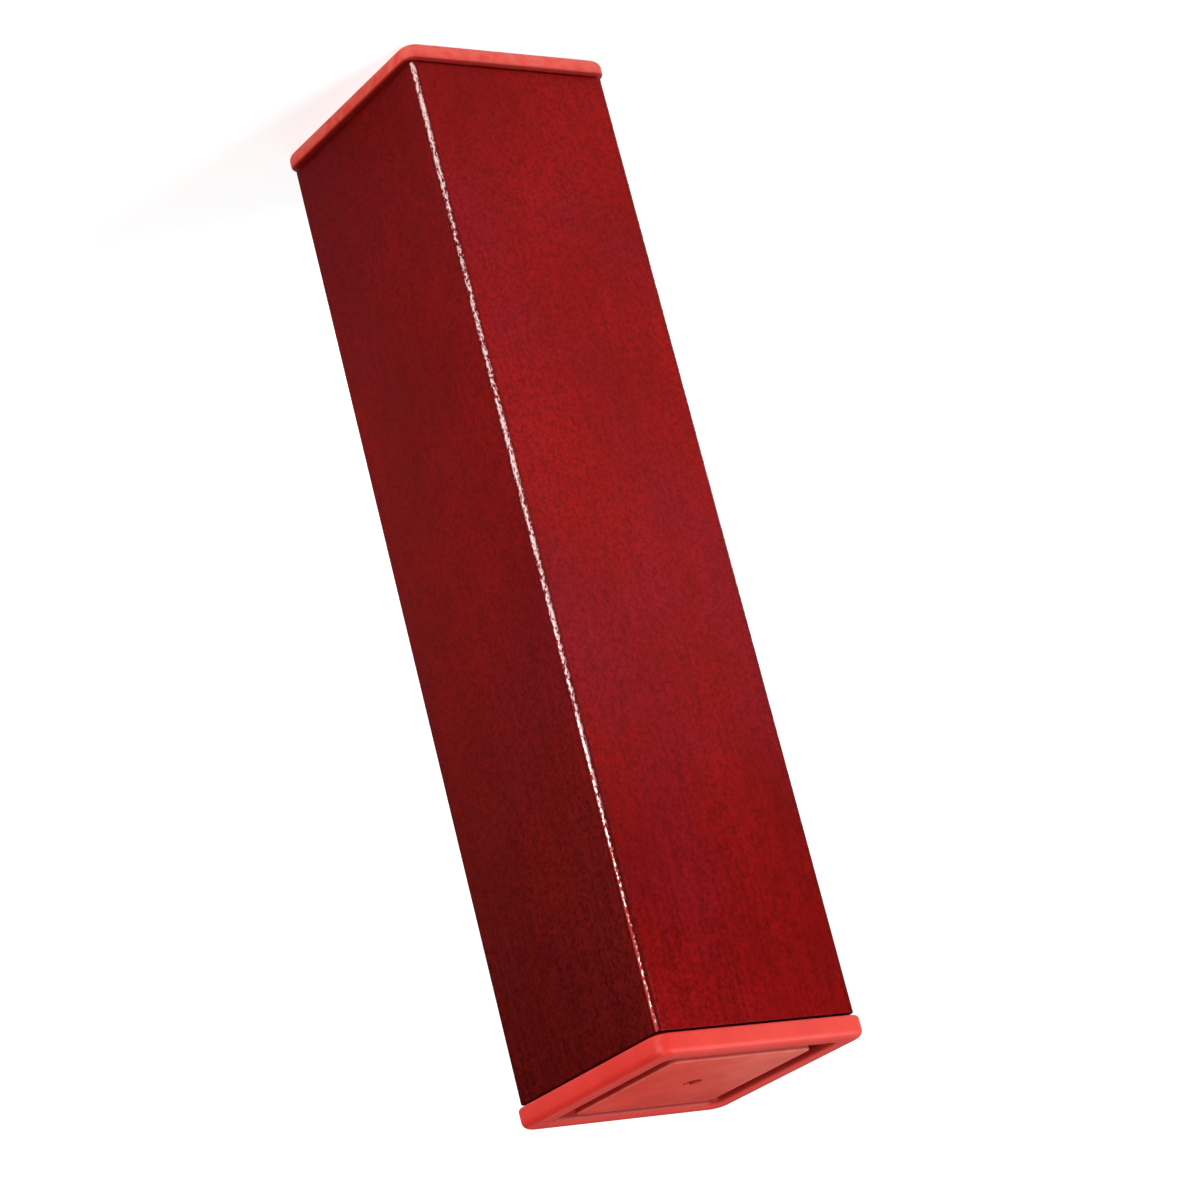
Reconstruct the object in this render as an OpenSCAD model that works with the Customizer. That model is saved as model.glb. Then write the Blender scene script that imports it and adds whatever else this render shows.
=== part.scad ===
// Square tube case with a bar of detailing clay inside.
// A square metal sleeve is closed by a ribbed push-in cap at each end. The wrapped clay bar lies in
// a tray that is clipped to the opening cap, so cap and tray draw out together, like a drawer.
// The base cap pulls out the other way. The case stands on the base cap: the origin is the centre
// of that cap's outer face, and +Z runs along the sleeve to the opening cap.

/* [Sleeve] */
// Outer width of the square sleeve
sleeve_w = 25; // [24:0.5:32]
// Wall of the sleeve
sleeve_wall = 1.5; // [1.2:0.1:1.8]
// Length of the sleeve
sleeve_len = 106.2; // [90:0.1:150]
// Radius of the sleeve's long outer corners
sleeve_corner_r = 0.6; // [0.4:0.1:0.9]

/* [Caps] */
// How far a cap's flange stands out past the sleeve
flange_over = 0.55; // [0.3:0.05:0.9]
// Thickness of a cap's flange
flange_t = 2; // [1.8:0.1:2.6]
// Radius of the flange's four corners
flange_corner_r = 1.5; // [1.2:0.1:2]
// Radius of the flange's outer edge
flange_edge_r = 0.8; // [0.5:0.1:1]
// Shadow gap between the flange and the end of the sleeve
seam = 0.3; // [0.2:0.05:0.4]
// Depth of the plug, from the flange
plug_depth = 9; // [7:0.5:12]
// Wall of the hollow plug
plug_wall = 1.4; // [1.2:0.1:1.6]

/* [Face plates] */
// Width of the square plate in each cap's outer face
plate_w = 17.8; // [17:0.1:18.2]
// Gap all round the plate
moat_w = 1.75; // [1.4:0.05:1.9]
// How far the plate lies below the flange's face
plate_recess = 0.15; // [0.1:0.05:0.3]

/* [Clay and tray] */
// Wall of the tray
tray_wall = 0.8; // [0.7:0.1:0.9]
// Play between the tray and the sleeve, on each side
tray_play = 0.3; // [0.2:0.05:0.35]
// Thickness of the film round the clay
wrap_t = 0.2; // [0.15:0.05:0.3]

/* [Hidden] */
$fn = 48;

// One unit of cut that runs clear past a face
clear = 1;

// Sleeve
bore_w = sleeve_w - 2 * sleeve_wall;
bore_corner_r = 0.5;
sleeve_z = flange_t + seam;
total_h = sleeve_len + 2 * sleeve_z;

// Cap
flange_w = sleeve_w + 2 * flange_over;
land_w = sleeve_w - 1.4;
plug_w = bore_w - 0.8;
plug_corner_r = 1;
pocket_w = plate_w + 2 * moat_w;
pocket_depth = 1.2;
pocket_corner_r = 1.1;
web_t = 2;
hollow_w = plug_w - 2 * plug_wall;
hollow_z = pocket_depth + web_t;
plug_end_z = flange_t + plug_depth;
rib_w = 0.8;
rib_len = plug_depth - 2.5;
rib_offset = 5.5;
rib_clear = 0.05;

// Face plate
plate_t = pocket_depth - plate_recess;
plate_corner_r = 0.9;
peg_r = 1;
peg_len = 1.4;
peg_offset = 6;
peg_clear = 0.05;
gate_r = 0.8;
gate_depth = 0.25;
nub_r = 0.35;

// Cushions fill the plugs' hollows
cushion_play = 0.3;
cushion_w = hollow_w - 2 * cushion_play;
cushion_corner_r = 0.8;
cushion_proud = 0.4;

// Tray: the floor lies along -Y, and the side towards +Y is open. Its tongue lies against the
// opening cap's plug wall, clipped over a stud.
tray_w = bore_w - 2 * tray_play;
tray_play_z = 0.2;
tray_z0 = plug_end_z + cushion_proud + tray_play_z;
tray_z1 = total_h - tray_z0;
tray_len = tray_z1 - tray_z0;
tray_side_h = 17.5;
scallop_r = 9;
scallop_rise = 2;
tray_end_h = tray_w - 0.6;
tongue_w = 10;
tongue_y = 0.1 - hollow_w / 2;
tongue_len = plug_end_z - hollow_z - 0.6;
stud_r = 1.6;
stud_z = hollow_z + 4;
stud_h = tray_wall + 0.5;
stud_clear = 0.1;

// Clay and its film, lying on the tray's floor between its walls
bar_play = 0.2;
bar_w = tray_w - 2 * tray_wall - 2 * bar_play;
bar_len = tray_len - 2 * tray_wall - 2 * bar_play;
bar_corner_r = 1.4;
bar_y = tray_wall + bar_play + bar_w / 2 - tray_w / 2;
bar_z0 = tray_z0 + tray_wall + bar_play;

// A square with round corners, centred on the origin
module rounded_square(w, r) {
    square([w - 2 * r, w], center = true);
    square([w, w - 2 * r], center = true);
    for (x = [-1, 1], y = [-1, 1])
        translate([x * (w / 2 - r), y * (w / 2 - r)]) circle(r);
}

// Side view of a slab whose two lower corners are round
module edge_profile(w, t, r) {
    translate([-w / 2, r]) square([w, t - r]);
    translate([r - w / 2, 0]) square([w - 2 * r, t]);
    for (x = [-1, 1]) translate([x * (w / 2 - r), r]) circle(r);
}

// A square slab with round corners and a round lower edge
module edged_slab(w, t, corner_r, edge_r) {
    intersection() {
        linear_extrude(t) rounded_square(w, corner_r);
        rotate([90, 0, 0]) linear_extrude(w, center = true) edge_profile(w, t, edge_r);
        rotate([90, 0, 90]) linear_extrude(w, center = true) edge_profile(w, t, edge_r);
    }
}

module at_pegs() {
    for (x = [-1, 1], y = [-1, 1]) translate([x * peg_offset, y * peg_offset, 0]) children();
}

// Turns what is drawn for the base end into the same thing at the opening end
module at_opening_end() {
    translate([0, 0, total_h]) mirror([0, 0, 1]) children();
}

// Two grip ribs on each side of the plug
module plug_ribs() {
    rib_top = bore_w / 2 - rib_clear;
    rib_h = rib_top - plug_w / 2 + plug_wall / 2;
    for (turn = [0, 90, 180, 270], side = [-1, 1])
        rotate([0, 0, turn])
            translate([side * rib_offset - rib_w / 2, rib_top - rib_h, flange_t + seam])
                cube([rib_w, rib_h, rib_len]);
}

// A cap lying with its outer face down and its plug up
module cap() {
    difference() {
        union() {
            edged_slab(flange_w, flange_t, flange_corner_r, flange_edge_r);
            translate([0, 0, flange_t / 2])
                linear_extrude(flange_t / 2 + seam) rounded_square(land_w, plug_corner_r);
            translate([0, 0, flange_t / 2])
                linear_extrude(plug_end_z - flange_t / 2) rounded_square(plug_w, plug_corner_r);
            plug_ribs();
        }
        translate([0, 0, hollow_z])
            linear_extrude(plug_end_z) rounded_square(hollow_w, plug_corner_r);
        translate([0, 0, -clear])
            linear_extrude(pocket_depth + clear) rounded_square(pocket_w, pocket_corner_r);
        at_pegs() translate([0, 0, pocket_depth - clear])
            cylinder(r = peg_r + peg_clear, h = peg_len + peg_clear + clear);
    }
}

// The plate sits on the floor of the cap's pocket, on four pegs, and has a moulding gate mark
module face_plate() {
    difference() {
        union() {
            translate([0, 0, plate_recess]) linear_extrude(plate_t) rounded_square(plate_w, plate_corner_r);
            at_pegs() translate([0, 0, plate_recess + plate_t / 2])
                cylinder(r = peg_r, h = plate_t / 2 + peg_len);
        }
        translate([0, 0, plate_recess - clear]) difference() {
            cylinder(r = gate_r, h = gate_depth + clear);
            cylinder(r = nub_r, h = gate_depth + clear);
        }
        translate([0, 0, plate_recess - clear]) cylinder(r = nub_r, h = clear + gate_depth / 3);
    }
}

module outer_sleeve() {
    color("firebrick") difference() {
        translate([0, 0, sleeve_z]) linear_extrude(sleeve_len) rounded_square(sleeve_w, sleeve_corner_r);
        translate([0, 0, sleeve_z - clear])
            linear_extrude(sleeve_len + 2 * clear) rounded_square(bore_w, bore_corner_r);
    }
}

module base_cap() {
    color("tomato") cap();
}

module base_face_plate() {
    color("indianred") face_plate();
}

module base_cushion() {
    color("dimgray") translate([0, 0, hollow_z])
        linear_extrude(plug_end_z + cushion_proud - hollow_z) rounded_square(cushion_w, cushion_corner_r);
}

// The stud that holds the tray's tongue stands on the plug's inner wall
module opening_cap() {
    color("tomato") at_opening_end() {
        cap();
        translate([0, stud_h + 0.1 - hollow_w / 2, stud_z])
            rotate([90, 0, 0]) cylinder(r = stud_r, h = stud_h + 0.1 + plug_wall / 2);
    }
}

module opening_face_plate() {
    color("indianred") at_opening_end() face_plate();
}

// This cushion is cut back on one side, where the tray's tongue stands
module opening_cushion() {
    cut_y = tongue_y + stud_h + cushion_play;
    color("dimgray") at_opening_end() difference() {
        translate([0, 0, hollow_z])
            linear_extrude(plug_end_z + cushion_proud - hollow_z) rounded_square(cushion_w, cushion_corner_r);
        translate([-cushion_w, cut_y - cushion_w, 0]) cube([2 * cushion_w, cushion_w, total_h]);
    }
}

// A long box given by its width, its height above the tray's floor, and where it starts and ends
module tray_box(x0, x1, y0, y1, z0, z1) {
    translate([x0, y0, z0]) cube([x1 - x0, y1 - y0, z1 - z0]);
}

// Clip tongue on the tray's upper end wall: a tab with a round top and a hole for the cap's stud
module tongue() {
    half = tongue_w / 2;
    root_z = tray_z1 - tray_wall;
    round_z = tray_z1 + tongue_len - half;
    difference() {
        union() {
            tray_box(-half, half, tongue_y, tongue_y + tray_wall, root_z, round_z);
            intersection() {
                translate([0, tongue_y + tray_wall, round_z])
                    rotate([90, 0, 0]) cylinder(r = half, h = tray_wall);
                tray_box(-half, half, tongue_y, tongue_y + tray_wall, round_z, round_z + half);
            }
        }
        translate([0, tongue_y + tray_wall + clear, total_h - stud_z])
            rotate([90, 0, 0]) cylinder(r = stud_r + stud_clear, h = tray_wall + 2 * clear);
    }
}

// The side walls are scalloped at the middle, so that two fingers can lift the clay out
module carrier_tray() {
    half = tray_w / 2;
    color("whitesmoke") difference() {
        union() {
            tray_box(-half, half, -half, tray_wall - half, tray_z0, tray_z1);
            for (x0 = [-half, half - tray_wall])
                tray_box(x0, x0 + tray_wall, -half, tray_side_h - half, tray_z0, tray_z1);
            for (z0 = [tray_z0, tray_z1 - tray_wall])
                tray_box(-half, half, -half, tray_end_h - half, z0, z0 + tray_wall);
            tongue();
        }
        translate([0, tray_side_h - half + scallop_rise, total_h / 2])
            rotate([0, 90, 0]) cylinder(r = scallop_r, h = tray_w + clear, center = true);
    }
}

// The clay or the space that it fills, smaller all round by the given amount
module bar_shape(inset) {
    translate([0, bar_y, bar_z0 + inset])
        linear_extrude(bar_len - 2 * inset) rounded_square(bar_w - 2 * inset, bar_corner_r - inset);
}

module clay_bar() {
    color("brown") bar_shape(wrap_t);
}

module clay_wrap() {
    color("lightgray", 0.5) difference() {
        bar_shape(0);
        bar_shape(wrap_t);
    }
}

outer_sleeve();
base_cap();
base_face_plate();
base_cushion();
opening_cap();
opening_face_plate();
opening_cushion();
carrier_tray();
clay_bar();
clay_wrap();
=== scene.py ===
# %% [markdown]
# # A square tube case for a bar of detailing clay
# The case is a red anodised tube with a moulded cap at each end. Inside, a film-wrapped bar of clay
# lies in a tray that is clipped to the opening cap. The frame brings every piece at its real size,
# standing on its base cap, so each new piece is started from the box of the node that it replaces.

# %% Load the frame
import math

import bmesh
import bpy
from mathutils import Matrix, Vector


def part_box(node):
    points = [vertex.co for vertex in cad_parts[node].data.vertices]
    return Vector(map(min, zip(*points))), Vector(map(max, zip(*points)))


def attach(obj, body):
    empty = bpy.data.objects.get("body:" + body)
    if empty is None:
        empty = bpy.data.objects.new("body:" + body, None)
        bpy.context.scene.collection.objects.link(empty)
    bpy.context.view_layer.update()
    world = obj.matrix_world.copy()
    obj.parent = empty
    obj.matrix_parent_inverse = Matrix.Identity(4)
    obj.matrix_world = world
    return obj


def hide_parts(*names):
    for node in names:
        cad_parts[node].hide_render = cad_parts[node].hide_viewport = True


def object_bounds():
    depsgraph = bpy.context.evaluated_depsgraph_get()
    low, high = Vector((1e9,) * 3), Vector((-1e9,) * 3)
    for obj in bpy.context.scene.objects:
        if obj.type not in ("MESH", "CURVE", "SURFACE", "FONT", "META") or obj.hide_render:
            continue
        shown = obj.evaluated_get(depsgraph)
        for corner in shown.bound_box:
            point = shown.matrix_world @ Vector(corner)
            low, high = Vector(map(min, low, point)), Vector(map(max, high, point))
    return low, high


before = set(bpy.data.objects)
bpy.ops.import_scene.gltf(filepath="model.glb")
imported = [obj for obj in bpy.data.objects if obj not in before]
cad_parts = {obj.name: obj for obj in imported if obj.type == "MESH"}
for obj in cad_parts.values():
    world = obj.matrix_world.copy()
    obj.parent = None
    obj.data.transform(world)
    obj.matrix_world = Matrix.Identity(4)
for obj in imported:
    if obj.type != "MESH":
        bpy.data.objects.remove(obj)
cad_lo, cad_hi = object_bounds()
MM = 0.001
print("CAD box in mm", [round((b - a) / MM, 2) for a, b in zip(cad_lo, cad_hi)])

# %% [markdown]
# ## Hands and eyes
# Everything is modelled with the same few moves: start a block, pick faces or edges by their place,
# and extrude, scale or bevel what is picked. Picking by place is what clicking is by hand. The block
# keeps its place in its mesh and its object at the origin, as the frame's own pieces do.

# %% Start a piece
NEAR = 0.02 * MM


def deselect():
    bpy.ops.object.select_all(action="DESELECT")


def use(piece):
    """Makes one piece the only selected and active one."""
    deselect()
    piece.select_set(True)
    bpy.context.view_layer.objects.active = piece


def settle(piece, name):
    """Puts the place, turn and scale of a new primitive into its mesh, and names it."""
    use(piece)
    bpy.ops.object.transform_apply(location=True, rotation=True, scale=True)
    piece.name = name
    piece.data.name = name
    return piece


def block(name, lo, hi):
    """A box from its lowest to its highest corner."""
    lo, hi = Vector(lo), Vector(hi)
    deselect()
    bpy.ops.mesh.primitive_cube_add(size=1, location=(lo + hi) / 2, scale=hi - lo)
    return settle(bpy.context.object, name)


def rod(name, radius, start, end, sides=48):
    """A round bar from one point to another."""
    start, end = Vector(start), Vector(end)
    along = end - start
    deselect()
    bpy.ops.mesh.primitive_cylinder_add(
        vertices=sides,
        radius=radius,
        depth=along.length,
        location=(start + end) / 2,
        rotation=along.to_track_quat("Z", "Y").to_euler(),
    )
    return settle(bpy.context.object, name)


# %% Pick and shape in edit mode
def edit(piece, kind="EDGE"):
    use(piece)
    bpy.ops.object.mode_set(mode="EDIT")
    bpy.ops.mesh.select_mode(type=kind)
    bpy.ops.mesh.select_all(action="DESELECT")


def done():
    bpy.ops.object.mode_set(mode="OBJECT")


def pick(piece, kind, test):
    """Selects the faces whose centre and normal pass the test, or the edges whose two ends do."""
    bpy.ops.mesh.select_mode(type=kind)
    bpy.ops.mesh.select_all(action="DESELECT")
    mesh = bmesh.from_edit_mesh(piece.data)
    mesh.normal_update()
    found = 0
    if kind == "FACE":
        for face in mesh.faces:
            if test(face.calc_center_median(), face.normal):
                face.select_set(True)
                found += 1
    else:
        for e in mesh.edges:
            if test(e.verts[0].co, e.verts[1].co):
                e.select_set(True)
                found += 1
    bmesh.update_edit_mesh(piece.data)
    return found


def facing(normal, at):
    """A test for faces that look along an axis and lie at a place on that axis."""
    normal = Vector(normal)
    return lambda c, n: n.dot(normal) > 0.999 and abs(c.dot(normal) - at) < NEAR


def upright(half):
    """A test for the four edges that run along Z at the corners of a square."""
    def test(a, b):
        level = abs(a.z - b.z) < NEAR
        return not level and all(abs(abs(v) - half) < NEAR for v in (a.x, a.y, b.x, b.y))
    return test


def from_outline(v, half, radius):
    """How far a point lies outside a round-cornered square."""
    over_x, over_y = (abs(c) - (half - radius) for c in (v.x, v.y))
    return math.hypot(max(over_x, 0), max(over_y, 0)) + min(max(over_x, over_y), 0) - radius


def outline(half, radius, z):
    """A test for the edges along a round-cornered square at one height."""
    def test(a, b):
        return all(abs(v.z - z) < NEAR and abs(from_outline(v, half, radius)) < NEAR for v in (a, b))
    return test


def bevel(width, segments):
    bpy.ops.mesh.bevel(
        offset_type="OFFSET", offset=width, segments=segments,
        profile=0.5, affect="EDGES", clamp_overlap=True,
    )


def pull(dz, dy=0):
    """Extrudes what is selected along Z, or along Y."""
    step = {"value": (0, dy, dz), "orient_type": "GLOBAL"}
    bpy.ops.mesh.extrude_region_move(TRANSFORM_OT_translate=step)


def step_in(share, z):
    """Extrudes the selected face in its own plane and scales it about the case's axis."""
    pull(0)
    bpy.ops.transform.resize(value=(share, share, 1), center_override=(0, 0, z), orient_type="GLOBAL")


def smooth(piece, degrees=35):
    use(piece)
    bpy.ops.object.shade_smooth_by_angle(angle=math.radians(degrees))


def combine(piece, tools, how):
    """Cuts the tools out of a piece, or welds them on, and removes them."""
    for tool in tools:
        use(piece)
        made = piece.modifiers.new("combine", "BOOLEAN")
        made.operation = how
        made.solver = "EXACT"
        made.object = tool
        bpy.ops.object.modifier_apply(modifier=made.name)
        bpy.data.objects.remove(tool)
    return piece


def cut_grid(piece, step, axes="xyz"):
    """Cuts a piece by evenly spaced planes, so that it has faces enough to wrinkle."""
    edit(piece)
    for axis in axes:
        along = Vector([1.0 if a == axis else 0.0 for a in "xyz"])
        reach = [v.co.dot(along) for v in bmesh.from_edit_mesh(piece.data).verts]
        lo, hi = min(reach), max(reach)
        count = round((hi - lo) / step)
        for k in range(1, count):
            bpy.ops.mesh.select_all(action="SELECT")
            bpy.ops.mesh.bisect(plane_co=along * (lo + (hi - lo) * k / count), plane_no=along)
    done()


def dent(piece, kind, size, depth, **settings):
    """Presses a procedural pattern into a piece. It only ever goes inwards."""
    pattern = bpy.data.textures.new("dents", kind)
    pattern.noise_scale = size
    for key, value in settings.items():
        setattr(pattern, key, value)
    use(piece)
    made = piece.modifiers.new("dents", "DISPLACE")
    made.texture = pattern
    made.texture_coords = "LOCAL"
    made.strength = depth
    made.mid_level = 1.0
    bpy.ops.object.modifier_apply(modifier=made.name)


def apply_bevel(piece, width, segments, degrees=40):
    """Breaks every edge that is sharper than an angle."""
    use(piece)
    made = piece.modifiers.new("edges", "BEVEL")
    made.width = width
    made.segments = segments
    made.limit_method = "ANGLE"
    made.angle_limit = math.radians(degrees)
    bpy.ops.object.modifier_apply(modifier=made.name)


def report(piece):
    mesh = piece.data
    open_edges = sum(1 for e in mesh.edges if e.is_loose)
    size = [round(d / MM, 2) for d in piece.dimensions]
    print(f"{piece.name}: {size} mm, {len(mesh.polygons)} faces, {open_edges} loose edges")
    return piece


# %% [markdown]
# ## The sleeve
# The real sleeve is an extruded aluminium tube, sawn to length and deburred. Its long corners keep
# the die's small radius, which is what draws the bright line down the near edge. A block is bevelled
# along its corners, each end is stepped in to the bore, and the two inner faces are bridged. It sits
# a quarter of a millimetre deeper on the base cap, whose flange is worn a little thinner.

# %% Model the sleeve
SEAT_SHIFT = Vector((0, 0, -0.25 * MM))
sleeve_lo, sleeve_hi = (corner + SEAT_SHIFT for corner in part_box("outer_sleeve"))
SLEEVE_HALF = sleeve_hi.x
SLEEVE_WALL = 1.5 * MM
SLEEVE_CORNER_R = 0.6 * MM
BORE_HALF = SLEEVE_HALF - SLEEVE_WALL
DEBURR = 0.12 * MM


def make_sleeve():
    piece = block("sleeve_shell", sleeve_lo, sleeve_hi)
    bore_share = BORE_HALF / SLEEVE_HALF
    edit(piece)
    pick(piece, "EDGE", upright(SLEEVE_HALF))
    bevel(SLEEVE_CORNER_R, 8)
    for normal, z in (((0, 0, 1), sleeve_hi.z), ((0, 0, -1), -sleeve_lo.z)):
        pick(piece, "FACE", facing(normal, z))
        step_in(bore_share, abs(z))
    pick(piece, "FACE", lambda c, n: abs(n.z) > 0.999 and abs(c.x) + abs(c.y) < NEAR)
    bpy.ops.mesh.bridge_edge_loops()
    for z in (sleeve_lo.z, sleeve_hi.z):
        for half, radius in ((SLEEVE_HALF, SLEEVE_CORNER_R), (BORE_HALF, SLEEVE_CORNER_R * bore_share)):
            pick(piece, "EDGE", outline(half, radius, z))
            bevel(DEBURR, 2)
    bpy.ops.mesh.select_all(action="SELECT")
    bpy.ops.mesh.normals_make_consistent(inside=False)
    done()
    smooth(piece)
    return report(piece)


sleeve = make_sleeve()
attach(sleeve, "sleeve")
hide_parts("outer_sleeve")

# %% [markdown]
# ## The caps
# Both caps are one moulding: a soft-edged flange with a pocket in its outer face, a low land that
# seats on the sleeve's end, and a hollow plug with grip ribs. Both are modelled at the base, and one
# is turned half a turn about the case's middle. That puts it at the opening end the right way out,
# where mirroring would turn its faces inside out.

# %% Cap dimensions, from the frame
cap_lo, cap_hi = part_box("base_cap")
plate_lo, plate_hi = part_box("base_face_plate")
CASE_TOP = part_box("opening_cap")[1].z
FLANGE_HALF = cap_hi.x
FLANGE_CORNER_R = 1.5 * MM
FLANGE_EDGE_R = 0.8 * MM
FLANGE_LIP_R = 0.35 * MM
POCKET_LIP_R = 0.6 * MM
SEAM = 0.3 * MM
FLANGE_T = sleeve_lo.z - SEAM
OPENING_FLANGE_T = CASE_TOP - sleeve_hi.z - SEAM
MOAT = 1.75 * MM
POCKET_HALF = plate_hi.x + MOAT
POCKET_DEPTH = 1.2 * MM
LAND_HALF = SLEEVE_HALF - 0.7 * MM
PLUG_HALF = BORE_HALF - 0.4 * MM
PLUG_END = cap_hi.z
PLUG_WALL = 1.4 * MM
HOLLOW_Z = POCKET_DEPTH + 2 * MM
RIB_W = 0.8 * MM
RIB_OFFSET = 5.5 * MM
RIB_TOP = BORE_HALF - 0.05 * MM
RIB_LEN = 6.5 * MM
RIB_ROOT = 0.5 * MM
RIB_LEAD = 0.3 * MM
PLUG_END_R = 0.5 * MM
HOLLOW_LIP_R = 0.15 * MM


# %% Model the cap
def cap_radius(half):
    """Corner radius of an outline that was scaled down from the flange's."""
    return FLANGE_CORNER_R * half / FLANGE_HALF


def make_ribs(flange_t):
    """Two grip ribs on each side of the plug, chamfered where they enter the sleeve."""
    ribs = []
    z0 = flange_t + SEAM
    z1 = z0 + RIB_LEN
    for turn in range(4):
        for side in (-1, 1):
            x = side * RIB_OFFSET
            rib = block("rib", (x - RIB_W / 2, PLUG_HALF - RIB_ROOT, z0), (x + RIB_W / 2, RIB_TOP, z1))
            edit(rib)
            pick(rib, "EDGE", lambda a, b: min(a.y, b.y) > RIB_TOP - NEAR and min(a.z, b.z) > z1 - NEAR)
            bevel(RIB_LEAD, 3)
            done()
            rib.data.transform(Matrix.Rotation(turn * math.pi / 2, 4, "Z"))
            ribs.append(rib)
    return ribs


def make_cap(name, flange_t):
    piece = block(name, (-FLANGE_HALF, -FLANGE_HALF, cap_lo.z), (FLANGE_HALF, FLANGE_HALF, flange_t))
    edit(piece)
    pick(piece, "EDGE", upright(FLANGE_HALF))
    bevel(FLANGE_CORNER_R, 8)
    pick(piece, "FACE", facing((0, 0, -1), -cap_lo.z))
    step_in(POCKET_HALF / FLANGE_HALF, cap_lo.z)
    pull(POCKET_DEPTH)
    pick(piece, "FACE", facing((0, 0, 1), flange_t))
    at, z = FLANGE_HALF, flange_t
    hollow_half = PLUG_HALF - PLUG_WALL
    steps = ((LAND_HALF, SEAM), (PLUG_HALF, PLUG_END - flange_t - SEAM), (hollow_half, HOLLOW_Z - PLUG_END))
    for half, height in steps:
        step_in(half / at, z)
        pull(height)
        at, z = half, z + height
    edges = (
        (FLANGE_HALF, cap_lo.z, FLANGE_EDGE_R, 6),
        (FLANGE_HALF, flange_t, FLANGE_LIP_R, 4),
        (POCKET_HALF, cap_lo.z, POCKET_LIP_R, 5),
        (PLUG_HALF, PLUG_END, PLUG_END_R, 3),
        (hollow_half, PLUG_END, HOLLOW_LIP_R, 2),
    )
    for half, z, width, segments in edges:
        pick(piece, "EDGE", outline(half, cap_radius(half), z))
        bevel(width, segments)
    bpy.ops.mesh.select_all(action="SELECT")
    bpy.ops.mesh.normals_make_consistent(inside=False)
    done()
    return combine(piece, make_ribs(flange_t), "UNION")


def to_opening_end(piece):
    """Turns a piece's mesh half a turn about a line along X at the case's middle."""
    middle = Matrix.Translation((0, 0, CASE_TOP / 2))
    piece.data.transform(middle @ Matrix.Rotation(math.pi, 4, "X") @ middle.inverted())


base_cap = make_cap("base_cap_shell", FLANGE_T)
opening_cap = make_cap("opening_cap_shell", OPENING_FLANGE_T)
to_opening_end(opening_cap)
for piece, replaced, body in ((base_cap, "base_cap", "base_plug"), (opening_cap, "opening_cap", "drawer")):
    smooth(piece)
    report(piece)
    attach(piece, body)
    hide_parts(replaced)

# %% [markdown]
# ## The face plates
# A thin square plate is pressed into each cap's pocket. It was moulded through one central gate, and
# the gate left a shallow round dimple with a torn nub in it. Its edges are barely broken, so they
# catch a thin line of light, and a painted highlight in the plate's colour adds to it.

# %% Model the plate
GATE_R = 1.0 * MM
GATE_DEPTH = 0.3 * MM
NUB_R = 0.3 * MM
NUB_AT = (0.75 * MM, 0.26 * MM)
NUB_TOP = plate_lo.z - 0.05 * MM
PLATE_HALF = plate_hi.x
PLATE_T = POCKET_DEPTH - plate_lo.z
PLATE_CORNER_R = 0.9 * MM
PLATE_EDGE_R = 0.2 * MM


def make_plate(name):
    z0 = plate_lo.z
    piece = block(name, (-PLATE_HALF, -PLATE_HALF, z0), (PLATE_HALF, PLATE_HALF, z0 + PLATE_T))
    edit(piece)
    pick(piece, "EDGE", upright(PLATE_HALF))
    bevel(PLATE_CORNER_R, 6)
    pick(piece, "EDGE", outline(PLATE_HALF, PLATE_CORNER_R, z0))
    bevel(PLATE_EDGE_R, 3)
    done()
    gate = rod("gate", GATE_R, (0, 0, z0 - 1 * MM), (0, 0, z0 + GATE_DEPTH))
    combine(piece, [gate], "DIFFERENCE")
    nub = rod("nub", NUB_R, (*NUB_AT, NUB_TOP), (*NUB_AT, z0 + 2 * GATE_DEPTH), 16)
    return combine(piece, [nub], "UNION")


base_plate = make_plate("base_plate")
opening_plate = make_plate("opening_plate")
to_opening_end(opening_plate)
for piece, replaced, body in (
    (base_plate, "base_face_plate", "base_plug"),
    (opening_plate, "opening_face_plate", "drawer"),
):
    smooth(piece)
    report(piece)
    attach(piece, body)
    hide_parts(replaced)

# %% [markdown]
# ## The tray
# The tray is a thin moulding in natural white plastic, open along one side so that the bar can be
# lifted out. Its side walls are lower than its ends, and a round scallop in each lets two fingers
# get hold of the bar. A tongue at the opening end clips over a stud inside the cap. A block is
# hollowed by insetting its open side and pushing it in, and the scallops and the clip's hole are cut
# from it.

# %% Model the tray
tray_lo, tray_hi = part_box("carrier_tray")
TRAY_WALL = 0.8 * MM
TRAY_SIDE_H = 17.5 * MM
SCALLOP_R = 9 * MM
SCALLOP_Y = tray_lo.y + TRAY_SIDE_H + 2 * MM
TRAY_END = CASE_TOP - tray_lo.z
TONGUE_HALF = 5 * MM
TONGUE_Y = -9.1 * MM
STUD_Z = CASE_TOP - HOLLOW_Z - 4 * MM
STUD_R = 1.6 * MM
CLIP_R = STUD_R + 0.1 * MM
TRAY_EDGE_R = 0.15 * MM


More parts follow.
